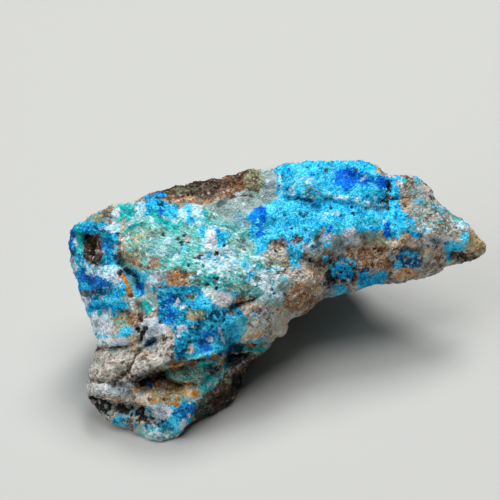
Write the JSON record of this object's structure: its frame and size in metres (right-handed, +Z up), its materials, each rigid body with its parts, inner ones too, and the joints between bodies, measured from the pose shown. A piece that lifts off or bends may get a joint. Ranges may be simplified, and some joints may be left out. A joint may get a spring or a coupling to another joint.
{
  "type": "cyanotrichite specimen",
  "caption": "Rough mineral specimen: a heavy foot and a tapering arm of quartz and limonite rock, crusted with azure, royal-blue and mint-green crystals, resting on flat patches.",
  "frame": {"origin": "on the surface that the specimen rests on, under the middle of its bounding box", "axes": "+X along the specimen towards the thin end of its arm, +Y away from the display side, +Z up"},
  "size_m": [0.0776, 0.0486, 0.036],
  "materials": {
    "specimen": "matt"
  },
  "bodies": {
    "root": {"specimen": "specimen"}
  },
  "joints": []
}
